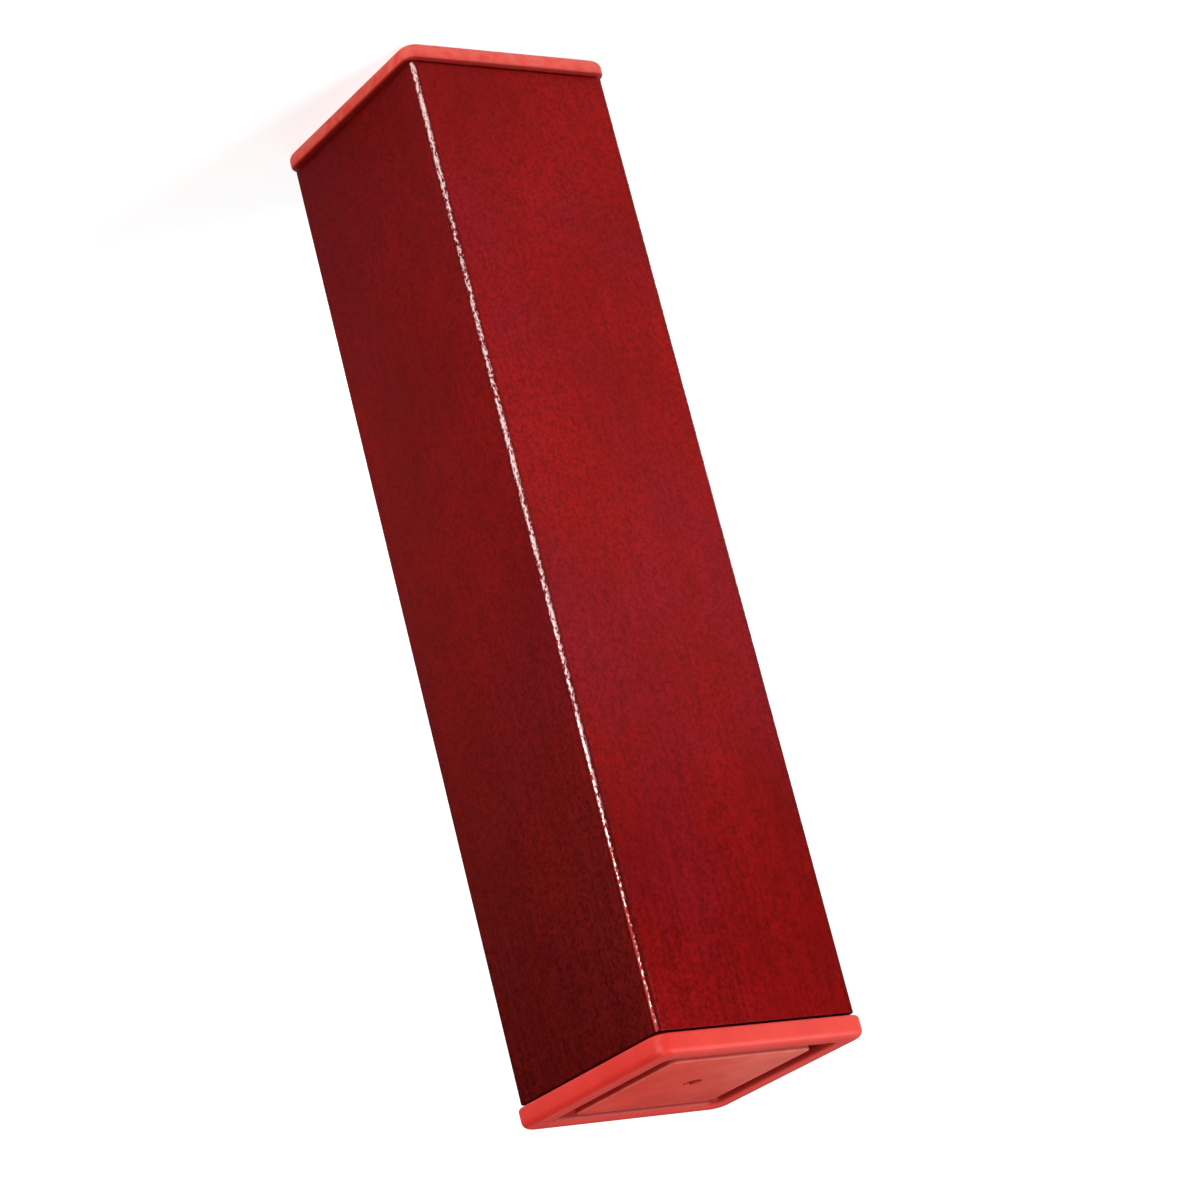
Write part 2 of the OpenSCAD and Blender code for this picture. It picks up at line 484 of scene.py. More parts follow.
def make_tray():
    piece = block("tray", tray_lo, (tray_hi.x, tray_hi.y, TRAY_END))
    edit(piece)
    pick(piece, "FACE", facing((0, 1, 0), tray_hi.y))
    bpy.ops.mesh.inset(thickness=TRAY_WALL, depth=0)
    depth = tray_lo.y + TRAY_WALL - tray_hi.y
    pull(0, depth)
    done()
    side_top = tray_lo.y + TRAY_SIDE_H
    low_side = block(
        "low_side",
        (2 * tray_lo.x, side_top, tray_lo.z + TRAY_WALL),
        (2 * tray_hi.x, 2 * tray_hi.y, TRAY_END - TRAY_WALL),
    )
    middle = (tray_lo.z + TRAY_END) / 2
    left, right = (2 * tray_lo.x, SCALLOP_Y, middle), (2 * tray_hi.x, SCALLOP_Y, middle)
    scallop = rod("scallop", SCALLOP_R, left, right, 96)
    combine(piece, [low_side, scallop], "DIFFERENCE")
    round_z = tray_hi.z - TONGUE_HALF
    front, back = TONGUE_Y, TONGUE_Y + TRAY_WALL
    tip = rod("tip", TONGUE_HALF, (0, front, round_z), (0, back, round_z), 64)
    clear = 2 * TONGUE_HALF
    below = block("below", (-clear, front - clear, round_z - clear), (clear, back + clear, round_z))
    combine(tip, [below], "DIFFERENCE")
    strap = block("strap", (-TONGUE_HALF, front, TRAY_END - TRAY_WALL), (TONGUE_HALF, back, round_z))
    combine(piece, [strap, tip], "UNION")
    hole = rod("hole", CLIP_R, (0, front - clear, STUD_Z), (0, back + clear, STUD_Z), 48)
    combine(piece, [hole], "DIFFERENCE")
    apply_bevel(piece, TRAY_EDGE_R, 2)
    smooth(piece, 40)
    return report(piece)


tray = make_tray()
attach(tray, "drawer")
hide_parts("carrier_tray")

# %% Add the stud that the tray clips to, and the plates' pegs
STUD_TIP = TONGUE_Y + TRAY_WALL + 0.5 * MM
PEG_R = 1 * MM
PEG_HOLE_R = 1.05 * MM
PEG_OFFSET = 6 * MM
PEG_END = POCKET_DEPTH + 1.4 * MM
PEG_HOLE_END = PEG_END + 0.05 * MM


def corner_rods(name, radius, start, end):
    """Four rods, one towards each corner of a cap, from one height to another."""
    spots = [(x * PEG_OFFSET, y * PEG_OFFSET) for x in (-1, 1) for y in (-1, 1)]
    return [rod(name, radius, (x, y, start), (x, y, end), 32) for x, y in spots]


stud = rod("stud", STUD_R, (0, -PLUG_HALF + PLUG_WALL / 2, STUD_Z), (0, STUD_TIP, STUD_Z))
edit(stud)
pick(stud, "EDGE", lambda a, b: min(a.y, b.y) > STUD_TIP - NEAR)
bevel(0.25 * MM, 3)
done()
combine(opening_cap, [stud], "UNION")
combine(base_cap, corner_rods("hole", PEG_HOLE_R, 0.3 * MM, PEG_HOLE_END), "DIFFERENCE")
combine(base_plate, corner_rods("peg", PEG_R, POCKET_DEPTH - 0.2 * MM, PEG_END), "UNION")
holes = corner_rods("hole", PEG_HOLE_R, CASE_TOP - PEG_HOLE_END, CASE_TOP - 0.3 * MM)
combine(opening_cap, holes, "DIFFERENCE")
pegs = corner_rods("peg", PEG_R, CASE_TOP - PEG_END, CASE_TOP - POCKET_DEPTH + 0.2 * MM)
combine(opening_plate, pegs, "UNION")
for piece in (base_cap, opening_cap, base_plate, opening_plate):
    smooth(piece)
    report(piece)

# %% [markdown]
# ## The bar of clay
# Detailing clay is pressed into a bar and cut to length. It is dense, faintly oily and never quite
# flat, with soft corners and the odd press mark. A block is rounded, cut into a fine grid, and
# dented inwards twice, so that it never grows into the film.

# %% Model the clay
clay_lo, clay_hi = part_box("clay_bar")
CLAY_EDGE_R = 1.2 * MM
CLAY_GRID = 1.0 * MM
PRESS_SIZE, PRESS_DEPTH = 9 * MM, 0.22 * MM
SKIN_SIZE, SKIN_DEPTH = 1.6 * MM, 0.06 * MM


def make_clay():
    piece = block("clay", clay_lo, clay_hi)
    edit(piece)
    bpy.ops.mesh.select_all(action="SELECT")
    bevel(CLAY_EDGE_R, 4)
    done()
    cut_grid(piece, CLAY_GRID)
    dent(piece, "CLOUDS", PRESS_SIZE, PRESS_DEPTH, noise_depth=1)
    dent(piece, "CLOUDS", SKIN_SIZE, SKIN_DEPTH, noise_depth=2)
    smooth(piece, 60)
    return report(piece)


clay = make_clay()
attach(clay, "drawer")
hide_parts("clay_bar")

# %% [markdown]
# ## The film
# The bar is parcelled in one piece of clear film: it laps over itself in a long seam on the open
# side, and each end is folded like an envelope, with one flap on top. Film creases into flat facets
# with sharp ridges between them, which a cell pattern gives when it is pressed in very lightly. The
# film gets its own thin wall last.

# %% Model the film
film_lo, film_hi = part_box("clay_wrap")
FILM_T = 0.03 * MM
LAP_EDGE = 3 * MM
LAP_RISE = 0.06 * MM
FILM_EDGE_R = 1.4 * MM
FILM_GRID = 0.65 * MM
FACET_SIZE, FACET_DEPTH = 7 * MM, 0.13 * MM


def make_film():
    piece = block("film", film_lo, film_hi)
    edit(piece)
    bpy.ops.mesh.select_all(action="SELECT")
    bevel(FILM_EDGE_R, 3)
    for z in (film_lo.z, film_hi.z):
        for side in (-1, 1):
            pick(piece, "FACE", lambda c, n: abs(n.z) > 0.999 and abs(c.z - z) < NEAR)
            bpy.ops.mesh.bisect(plane_co=(0, 0, z), plane_no=(1, side, 0))
        pick(piece, "FACE", lambda c, n: abs(n.z) > 0.999 and abs(c.z - z) < NEAR and c.y > abs(c.x))
        pull(math.copysign(LAP_RISE, z - film_lo.z - NEAR))
    bpy.ops.mesh.select_all(action="SELECT")
    bpy.ops.mesh.bisect(plane_co=(LAP_EDGE, 0, 0), plane_no=(1, 0, 0))
    pick(piece, "FACE", lambda c, n: n.y > 0.999 and c.x < LAP_EDGE)
    pull(0, LAP_RISE)
    done()
    cut_grid(piece, FILM_GRID)
    dent(piece, "VORONOI", FACET_SIZE, FACET_DEPTH, weight_1=-1.0, weight_2=1.0)
    use(piece)
    wall = piece.modifiers.new("wall", "SOLIDIFY")
    wall.thickness = FILM_T
    wall.offset = -1
    bpy.ops.object.modifier_apply(modifier=wall.name)
    smooth(piece, 12)
    return report(piece)


film = make_film()
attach(film, "drawer")
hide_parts("clay_wrap")

# %% [markdown]
# ## The foam cushions
# A block of closed-cell foam fills each plug's hollow and bears on the end of the tray. Its free
# face swells a little, so its rim is rounded well back, and the cell skin is faintly lumpy.

# %% Model the cushions
FOAM_CORNER_R = 0.8 * MM
FOAM_RIM_R = 1.6 * MM
FOAM_GRID = 0.8 * MM
LUMP_SIZE, LUMP_DEPTH = 3 * MM, 0.18 * MM


def make_cushion(name, node_name, free_side):
    """A foam block. free_side is 1 if its free face looks along +Z, and -1 if along -Z."""
    lo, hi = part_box(node_name)
    piece = block(name, lo, hi)
    free_z = hi.z if free_side > 0 else lo.z
    edit(piece)
    pick(piece, "EDGE", lambda a, b: abs(a.z - b.z) > NEAR)
    bevel(FOAM_CORNER_R, 4)
    pick(piece, "FACE", lambda c, n: n.z * free_side > 0.999 and abs(c.z - free_z) < NEAR)
    bpy.ops.mesh.region_to_loop()
    bevel(FOAM_RIM_R, 6)
    done()
    cut_grid(piece, FOAM_GRID)
    dent(piece, "CLOUDS", LUMP_SIZE, LUMP_DEPTH, noise_depth=2)
    smooth(piece, 60)
    return report(piece)


base_cushion = make_cushion("base_foam", "base_cushion", 1)
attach(base_cushion, "base_plug")
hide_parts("base_cushion")
opening_cushion = make_cushion("opening_foam", "opening_cushion", -1)
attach(opening_cushion, "drawer")
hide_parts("opening_cushion")

# %% [markdown]
# ## Material helpers
# A finish is a shader made of nodes. Effects that several finishes share, such as grain, are node
# groups that put out masks, colours and heights, and the shader itself stays in each material.

# %% Node helpers
def new_material(name):
    made = bpy.data.materials.new(name)
    made.use_nodes = True
    tree = made.node_tree
    tree.nodes.clear()
    out = tree.nodes.new("ShaderNodeOutputMaterial")
    shader = tree.nodes.new("ShaderNodeBsdfPrincipled")
    tree.links.new(shader.outputs["BSDF"], out.inputs["Surface"])
    return made, tree, shader


def node(tree, kind, inputs=None, **settings):
    """A new node with its settings, and its inputs set to values or joined to other nodes' sockets."""
    made = tree.nodes.new(kind)
    for key, value in settings.items():
        setattr(made, key, value)
    for key, value in (inputs or {}).items():
        socket = made.inputs[key]
        if isinstance(value, bpy.types.NodeSocket):
            tree.links.new(value, socket)
        else:
            socket.default_value = value
    return made


def maths(tree, operation, a, b=0.0, clamp=False):
    return node(tree, "ShaderNodeMath", {0: a, 1: b}, operation=operation, use_clamp=clamp).outputs[0]


def ramp(tree, value, low, high, out_low=0.0, out_high=1.0):
    """Maps low..high smoothly to out_low..out_high."""
    inputs = {"Value": value, "From Min": low, "From Max": high, "To Min": out_low, "To Max": out_high}
    return node(tree, "ShaderNodeMapRange", inputs, interpolation_type="SMOOTHSTEP").outputs["Result"]


def mix(tree, factor, a, b):
    """Mixes two colours."""
    made = node(tree, "ShaderNodeMix", data_type="RGBA")
    for key, value in ((0, factor), (6, a), (7, b)):
        if isinstance(value, bpy.types.NodeSocket):
            tree.links.new(value, made.inputs[key])
        else:
            made.inputs[key].default_value = value
    return made.outputs[2]


def rgb(red, green, blue):
    return (red, green, blue, 1.0)


def group(name, inputs, outputs):
    """An empty node group with its sockets. inputs is (name, kind, default), outputs is (name, kind)."""
    made = bpy.data.node_groups.new(name, "ShaderNodeTree")
    for label, kind, default in inputs:
        socket = made.interface.new_socket(label, in_out="INPUT", socket_type=kind)
        socket.default_value = default
    for label, kind in outputs:
        made.interface.new_socket(label, in_out="OUTPUT", socket_type=kind)
    return made, made.nodes.new("NodeGroupInput"), made.nodes.new("NodeGroupOutput")


# %% [markdown]
# ## Two shared effects
# Brushing, cloudy dye, pebbled mouldings and oily clay are all noise of another scale and stretch,
# so one group makes them. Wear follows the long corners, and a second group finds those from a
# point's own place, which keeps the wear on the piece when it moves.

# %% Shared effect: noise stretched along the case
def make_grain_group():
    """Noise on object coordinates, from -0.5 to 0.5, squeezed along Z by a stretch."""
    tree, inp, out = group(
        "Grain",
        [
            ("Scale", "NodeSocketFloat", 1000.0),
            ("Stretch", "NodeSocketFloat", 1.0),
            ("Detail", "NodeSocketFloat", 3.0),
            ("Offset", "NodeSocketFloat", 0.0),
        ],
        [("Value", "NodeSocketFloat")],
    )
    where = node(tree, "ShaderNodeTexCoord").outputs["Object"]
    shrink = maths(tree, "DIVIDE", 1.0, inp.outputs["Stretch"])
    squeeze = node(tree, "ShaderNodeCombineXYZ", {"X": 1.0, "Y": 1.0, "Z": shrink}).outputs[0]
    place = node(tree, "ShaderNodeVectorMath", {0: where, 1: squeeze}, operation="MULTIPLY").outputs[0]
    noise = node(
        tree, "ShaderNodeTexNoise",
        {"Vector": place, "W": inp.outputs["Offset"], "Scale": inp.outputs["Scale"],
         "Detail": inp.outputs["Detail"], "Roughness": 0.6},
        noise_dimensions="4D",
    ).outputs["Fac"]
    tree.links.new(maths(tree, "SUBTRACT", noise, 0.5), out.inputs["Value"])
    return tree


GRAIN = make_grain_group()
print("shared effect", GRAIN.name, "of", len(GRAIN.nodes), "nodes")


def grain(tree, scale, stretch=1.0, detail=3.0, offset=0.0):
    made = node(tree, "ShaderNodeGroup", node_tree=GRAIN)
    for key, value in (("Scale", scale), ("Stretch", stretch), ("Detail", detail), ("Offset", offset)):
        made.inputs[key].default_value = value
    return made.outputs["Value"]


# %% Shared effect: how near a point is to a long edge of the case
def make_edge_group():
    """1 on the upright edges of a square of the given half width, falling to 0 within the reach."""
    tree, inp, out = group(
        "LongEdge",
        [("Half", "NodeSocketFloat", 0.0125), ("Reach", "NodeSocketFloat", 0.001)],
        [("Mask", "NodeSocketFloat")],
    )
    where = node(tree, "ShaderNodeTexCoord").outputs["Object"]
    axes = node(tree, "ShaderNodeSeparateXYZ", {0: where})
    from_axis = [maths(tree, "ABSOLUTE", axes.outputs[k]) for k in (0, 1)]
    gaps = [maths(tree, "SUBTRACT", inp.outputs["Half"], offset) for offset in from_axis]
    far = maths(tree, "MAXIMUM", *gaps)
    share = maths(tree, "DIVIDE", far, inp.outputs["Reach"])
    tree.links.new(maths(tree, "SUBTRACT", 1.0, share, clamp=True), out.inputs["Mask"])
    return tree


LONG_EDGE = make_edge_group()
print("shared effect", LONG_EDGE.name, "of", len(LONG_EDGE.nodes), "nodes")


def long_edge(tree, half, reach):
    made = node(tree, "ShaderNodeGroup", node_tree=LONG_EDGE)
    made.inputs["Half"].default_value = half
    made.inputs["Reach"].default_value = reach
    return made.outputs["Mask"]


# %% [markdown]
# ## Anodised aluminium
# Anodising is a dyed clear layer on brushed metal, so the red is the metal's own reflection and the
# layer adds a faint white gloss. Brushing runs lengthwise, and the dye takes a little unevenly. Along
# the long corners handling has polished the layer thin, and bare metal shines through in places.
# The colour also holds painted light: painted shade darkens it towards the opening end, and one face
# turns a paler, hazy red there as a painted reflection.

# %% Anodised material
SCARLET_DEEP, SCARLET = rgb(0.22, 0.0035, 0.0026), rgb(0.37, 0.0080, 0.0060)
CRIMSON = rgb(0.29, 0.009, 0.022)
SHADE_RED = rgb(0.14, 0.002, 0.003)
PIT_RED = rgb(0.12, 0.002, 0.002)
HAZE_RED = rgb(0.60, 0.08, 0.055)
EDGE_SHADE = rgb(0.06, 0.001, 0.001)
WORN_PINK, WORN_PALE = rgb(0.72, 0.27, 0.28), rgb(0.92, 0.64, 0.64)
WORN_REACH = 0.7 * MM
HAZE_FACE_FROM = -0.9 * SLEEVE_HALF


def make_anodised():
    made, tree, shader = new_material("anodised_red")
    brush = grain(tree, 3000, 24, 3)
    fine = grain(tree, 3400, 1.2, 2, 3.0)
    cloud = grain(tree, 75, 1.8, 3, 7.0)
    wide = grain(tree, 34, 1.6, 2, 11.0)
    tone = maths(tree, "ADD", maths(tree, "MULTIPLY", cloud, 0.9), maths(tree, "MULTIPLY", wide, 0.8))
    scarlet = mix(tree, ramp(tree, tone, -0.3, 0.3), SCARLET_DEEP, SCARLET)
    hue = ramp(tree, grain(tree, 42, 1.4, 3, 19.0), -0.05, 0.14)
    dye = mix(tree, maths(tree, "MULTIPLY", hue, 0.7), scarlet, CRIMSON)
    where = node(tree, "ShaderNodeSeparateXYZ", {0: node(tree, "ShaderNodeTexCoord").outputs["Object"]})
    late = ramp(tree, where.outputs[2], CASE_TOP / 2, CASE_TOP)
    # Painted reflection: on the face at -Y the red turns paler and hazier towards the opening end.
    one_face = ramp(tree, where.outputs[1], -SLEEVE_HALF, HAZE_FACE_FROM, 1.0, 0.0)
    face_haze = maths(tree, "MULTIPLY", late, one_face)
    brushed = maths(tree, "MULTIPLY", brush, maths(tree, "ADD", maths(tree, "MULTIPLY", late, 0.35), 0.2))
    speckle = maths(tree, "ADD", brushed, maths(tree, "MULTIPLY", fine, 0.9))
    # Painted shade: the red darkens towards the opening end.
    deep = mix(tree, maths(tree, "MULTIPLY", late, 0.25), dye, SHADE_RED)
    deep = mix(tree, maths(tree, "MULTIPLY", face_haze, 0.18), deep, HAZE_RED)
    speckled = mix(tree, ramp(tree, speckle, -0.3, 0.22), PIT_RED, deep)
    edge = long_edge(tree, SLEEVE_HALF, WORN_REACH)
    slow = maths(tree, "MULTIPLY", grain(tree, 60, 1, 3, 23.0), 0.6)
    rough_edge = ramp(tree, maths(tree, "ADD", grain(tree, 5200, 2.2, 2, 5.0), slow), -0.32, 0.12)
    spared = maths(tree, "MULTIPLY", late, 0.22)
    worn = ramp(tree, maths(tree, "SUBTRACT", maths(tree, "MULTIPLY", edge, rough_edge), spared), 0.3, 0.62)
    beside = maths(tree, "MULTIPLY", ramp(tree, edge, 0.0, 0.2), 0.45)
    bare = mix(tree, rough_edge, WORN_PINK, WORN_PALE)
    colour = mix(tree, worn, mix(tree, beside, speckled, EDGE_SHADE), bare)
    tree.links.new(colour, shader.inputs["Base Color"])
    shader.inputs["Metallic"].default_value = 1.0
    shader.inputs["Specular Tint"].default_value = rgb(0.75, 0.12, 0.12)
    rough = maths(tree, "ADD", 0.47, maths(tree, "MULTIPLY", fine, 0.25))
    rough = maths(tree, "SUBTRACT", rough, maths(tree, "MULTIPLY", worn, 0.12))
    tree.links.new(rough, shader.inputs["Roughness"])
    height = maths(tree, "ADD", maths(tree, "MULTIPLY", brush, 0.6), maths(tree, "MULTIPLY", fine, 0.8))
    bump = node(tree, "ShaderNodeBump", {"Height": height, "Strength": 0.35, "Distance": 0.02 * MM})
    tree.links.new(bump.outputs["Normal"], shader.inputs["Normal"])
    shader.inputs["Coat Weight"].default_value = 0.13
    shader.inputs["Coat Roughness"].default_value = 0.3
    return made


# %% [markdown]
# ## Moulded plastic
# The caps are a satin coral plastic with a shallow, even moulding texture, a little flow cloudiness
# and a paler tone where the edges are rubbed. The plates are the same plastic from a coarser tool,
# duller and dustier, with a stronger painted sheen and a painted highlight along their edges. Both get
# painted shade in their gaps, and pale dusting with a painted sheen towards one corner, so those two
# are shared groups too, and one function makes both plastics.

# %% Where a point lies on a cap
def places(tree):
    """A point's depth below the nearer cap's face, its offset across, its radius, and its axes."""
    where = node(tree, "ShaderNodeTexCoord").outputs["Object"]
    axes = node(tree, "ShaderNodeSeparateXYZ", {0: where})
    across = maths(tree, "MAXIMUM", *(maths(tree, "ABSOLUTE", axes.outputs[k]) for k in (0, 1)))
    from_middle = maths(tree, "ABSOLUTE", maths(tree, "SUBTRACT", axes.outputs[2], CASE_TOP / 2))
    flat = node(tree, "ShaderNodeCombineXYZ", {"X": axes.outputs[0], "Y": axes.outputs[1], "Z": 0.0})
    radius = node(tree, "ShaderNodeVectorMath", {0: flat.outputs[0]}, operation="LENGTH").outputs["Value"]
    return maths(tree, "SUBTRACT", CASE_TOP / 2, from_middle), across, radius, axes


# %% Shared effect: painted shade in the gaps
def make_gap_shade_group():
    """1 where shade is painted: the gap round a plate, the seam under a flange, and the gate's dimple."""
    tree, inp, out = group(
        "GapShade",
        [("Gap Share", "NodeSocketFloat", 1.0)],
        [("Mask", "NodeSocketFloat")],
    )
    depth, across, radius, axes = places(tree)
    low = ramp(tree, depth, 0.02 * MM, 0.35 * MM)
    inside = ramp(tree, across, POCKET_HALF + 0.3 * MM, POCKET_HALF + 0.6 * MM, 1.0, 0.0)
    gap = maths(tree, "MULTIPLY", maths(tree, "MULTIPLY", low, inside), inp.outputs["Gap Share"])
    flange_t = ramp(tree, axes.outputs[2], CASE_TOP / 3, CASE_TOP / 2, FLANGE_T, OPENING_FLANGE_T)
    below_lip = maths(tree, "SUBTRACT", depth, flange_t)
    reach = ramp(tree, axes.outputs[2], CASE_TOP / 3, CASE_TOP / 2, -0.25 * MM, -0.04 * MM)
    starts = ramp(tree, below_lip, reach, 0.0)
    seam = maths(tree, "MULTIPLY", starts, ramp(tree, below_lip, SEAM, SEAM + 0.1 * MM, 1.0, 0.0))
    gate = maths(tree, "MULTIPLY", ramp(tree, radius, GATE_R - 0.1 * MM, GATE_R, 1.0, 0.0), low)
    tree.links.new(maths(tree, "MAXIMUM", maths(tree, "MAXIMUM", gap, seam), gate), out.inputs["Mask"])
    return tree


GAP_SHADE_MASK = make_gap_shade_group()
print("shared effect", GAP_SHADE_MASK.name, "of", len(GAP_SHADE_MASK.nodes), "nodes")

# %% Shared effect: dusting and a painted sheen on one side of a cap
SHEEN_FROM, SHEEN_TO = -6 * MM, 16 * MM
SHEEN_WAVER = 18 * MM


def make_dust_sheen_group():
    """Pale dusting in the scuffs, and a painted sheen growing towards one corner, wavering with the cloud."""
    tree, inp, out = group(
        "DustSheen",
        [
            ("Cloud", "NodeSocketFloat", 0.0),
            ("Scuff", "NodeSocketFloat", 0.0),
            ("Share", "NodeSocketFloat", 0.0),
        ],
        [("Mask", "NodeSocketFloat")],
    )
    _, _, _, axes = places(tree)
    # Painted sheen: the colour pales towards one corner of the cap's face.
    sheen_lean = maths(tree, "SUBTRACT", axes.outputs[1], axes.outputs[0])
    sheen_lean = maths(tree, "ADD", sheen_lean, maths(tree, "MULTIPLY", inp.outputs["Cloud"], SHEEN_WAVER))
    in_scuffs = ramp(tree, inp.outputs["Scuff"], -0.1, 0.3, 0.0, 0.4)
    dust_and_sheen = maths(tree, "ADD", in_scuffs, ramp(tree, sheen_lean, SHEEN_FROM, SHEEN_TO))
    mask = maths(tree, "MULTIPLY", dust_and_sheen, inp.outputs["Share"], clamp=True)
    tree.links.new(mask, out.inputs["Mask"])
    return tree


DUST_SHEEN_MASK = make_dust_sheen_group()
print("shared effect", DUST_SHEEN_MASK.name, "of", len(DUST_SHEEN_MASK.nodes), "nodes")


# %% Plastic material
RUBBED = rgb(0.95, 0.22, 0.17)
DUST_SHEEN = rgb(0.80, 0.36, 0.29)
LIT_EDGE = rgb(0.95, 0.40, 0.32)
SCUFFED = rgb(0.64, 0.17, 0.12)
GAP_SHADE = rgb(0.20, 0.004, 0.003)
RUB_REACH = 1.2 * MM
SCUFF_HEIGHT = 3 * MM


def make_plastic(name, deep, pale, roughness, texture, cloud_share, dust_sheen, lit_rim):
    """A moulded plastic. texture is the bump's depth, dust_sheen the share of pale dusting and painted
    sheen, and lit_rim the strength of a painted highlight along a plate's edge."""
    made, tree, shader = new_material(name)
    cloud = grain(tree, 160, 1, 3, 2.0)
    pebble = grain(tree, 3800, 1, 2, 9.0)
    scuff = grain(tree, 700, 1, 5, 4.0)
    cloudy = maths(tree, "MULTIPLY", cloud, cloud_share)
    tone = maths(tree, "ADD", cloudy, maths(tree, "MULTIPLY", pebble, 0.35))
    body = mix(tree, ramp(tree, tone, -0.3, 0.3), deep, pale)
    rub = maths(tree, "MULTIPLY", long_edge(tree, FLANGE_HALF, RUB_REACH), ramp(tree, scuff, -0.1, 0.25))
    body = mix(tree, maths(tree, "MULTIPLY", rub, 0.35), body, RUBBED)
    depth, across, _, axes = places(tree)
    # Painted highlight: a pale line along the plate's edge, strong on the plates only.
    rim = ramp(tree, across, PLATE_HALF - 0.45 * MM, PLATE_HALF - 0.1 * MM)
    on_top = ramp(tree, depth, 0.15 * MM, 0.3 * MM, 1.0, 0.0)
    for share in (lit_rim, ramp(tree, scuff, -0.3, 0.1), on_top):
        rim = maths(tree, "MULTIPLY", rim, share)
    # Pale dusting in the scuffs, plus a painted sheen towards one corner.
    dust_sheen_node = node(tree, "ShaderNodeGroup", {"Cloud": cloud, "Scuff": scuff, "Share": dust_sheen}, node_tree=DUST_SHEEN_MASK)
    body = mix(tree, dust_sheen_node.outputs["Mask"], body, DUST_SHEEN)
    body = mix(tree, rim, body, LIT_EDGE)
    base_end = ramp(tree, axes.outputs[2], 0.0, SCUFF_HEIGHT, 1.0, 0.0)
    standing = maths(tree, "MULTIPLY", base_end, ramp(tree, scuff, -0.2, 0.15))
    body = mix(tree, maths(tree, "MULTIPLY", standing, 0.6), body, SCUFFED)
    # Painted shade: the gaps round the plates, the seam under the flange and the gate's dimple are darkened.
    gap_shade = node(tree, "ShaderNodeGroup", {"Gap Share": 0.9}, node_tree=GAP_SHADE_MASK).outputs["Mask"]
    body = mix(tree, maths(tree, "MULTIPLY", gap_shade, 0.85), body, GAP_SHADE)
    tree.links.new(body, shader.inputs["Base Color"])
    rough = maths(tree, "ADD", roughness, maths(tree, "MULTIPLY", scuff, 0.18))
    tree.links.new(rough, shader.inputs["Roughness"])
    shader.inputs["Specular IOR Level"].default_value = 0.26
    bump = node(tree, "ShaderNodeBump", {"Height": pebble, "Strength": 0.5, "Distance": texture})
    tree.links.new(bump.outputs["Normal"], shader.inputs["Normal"])
    return made


# %% Give the case its finishes
def give(finish, *pieces):
    for piece in pieces:
        piece.data.materials.clear()
        piece.data.materials.append(finish)
    print(finish.name, "of", len(finish.node_tree.nodes), "nodes on", [piece.name for piece in pieces])


give(make_anodised(), sleeve)
CORAL = make_plastic(
    "coral_satin", deep=rgb(0.54, 0.020, 0.012), pale=rgb(0.635, 0.031, 0.020),
    roughness=0.50, texture=0.02 * MM, cloud_share=0.8, dust_sheen=0.04, lit_rim=0.0,
)
DUSTY_CORAL = make_plastic(
    "coral_matt", deep=rgb(0.66, 0.026, 0.009), pale=rgb(0.82, 0.044, 0.018),
    roughness=0.60, texture=0.05 * MM, cloud_share=1.4, dust_sheen=0.27, lit_rim=0.35,
)
give(CORAL, base_cap, opening_cap)
give(DUSTY_CORAL, base_plate, opening_plate)

# %% [markdown]
# ## What is inside
# The clay is an opaque dark red paste, slightly oily, so it gets a soft broad gloss and some light
# inside it. The tray is translucent natural plastic with a satin surface. The film's reflection is
# mostly painted: it grows pale at a slant, and painted glints run along its crease lines, while its
# real gloss is faint. The foam is matt and full of fine cells.

# %% Clay material
CLAY_DEEP, CLAY_PALE = rgb(0.24, 0.016, 0.018), rgb(0.42, 0.04, 0.038)


def make_clay_finish():
    made, tree, shader = new_material("clay_red")
    blend = grain(tree, 130, 1, 4, 1.0)
    speck = grain(tree, 5200, 1, 2, 6.0)
    tone = maths(tree, "ADD", blend, maths(tree, "MULTIPLY", speck, 0.4))
    colour = mix(tree, ramp(tree, tone, -0.3, 0.3), CLAY_DEEP, CLAY_PALE)
    tree.links.new(colour, shader.inputs["Base Color"])
    rough = maths(tree, "ADD", 0.48, maths(tree, "MULTIPLY", blend, 0.3))
    tree.links.new(rough, shader.inputs["Roughness"])
    shader.inputs["Subsurface Weight"].default_value = 0.12
    shader.inputs["Subsurface Scale"].default_value = 1.0 * MM
    bump = node(tree, "ShaderNodeBump", {"Height": speck, "Strength": 0.4, "Distance": 0.05 * MM})
    tree.links.new(bump.outputs["Normal"], shader.inputs["Normal"])
    return made


# %% Tray material
TRAY_DEEP, TRAY_PALE = rgb(0.45, 0.44, 0.41), rgb(0.54, 0.53, 0.50)


def make_tray_finish():
    made, tree, shader = new_material("tray_natural")
    flow = grain(tree, 90, 2.5, 3, 8.0)
    texture = grain(tree, 3000, 1, 2, 2.5)
    colour = mix(tree, ramp(tree, flow, -0.3, 0.3), TRAY_DEEP, TRAY_PALE)
    tree.links.new(colour, shader.inputs["Base Color"])
    tree.links.new(maths(tree, "ADD", 0.4, maths(tree, "MULTIPLY", flow, 0.2)), shader.inputs["Roughness"])
    shader.inputs["Subsurface Weight"].default_value = 0.25
    shader.inputs["Subsurface Scale"].default_value = 1.5 * MM
    bump = node(tree, "ShaderNodeBump", {"Height": texture, "Strength": 0.3, "Distance": 0.02 * MM})
    tree.links.new(bump.outputs["Normal"], shader.inputs["Normal"])
    return made


# %% Film material
FILM_SHEEN, FILM_GLINT = rgb(0.62, 0.62, 0.64), rgb(0.95, 0.95, 0.97)


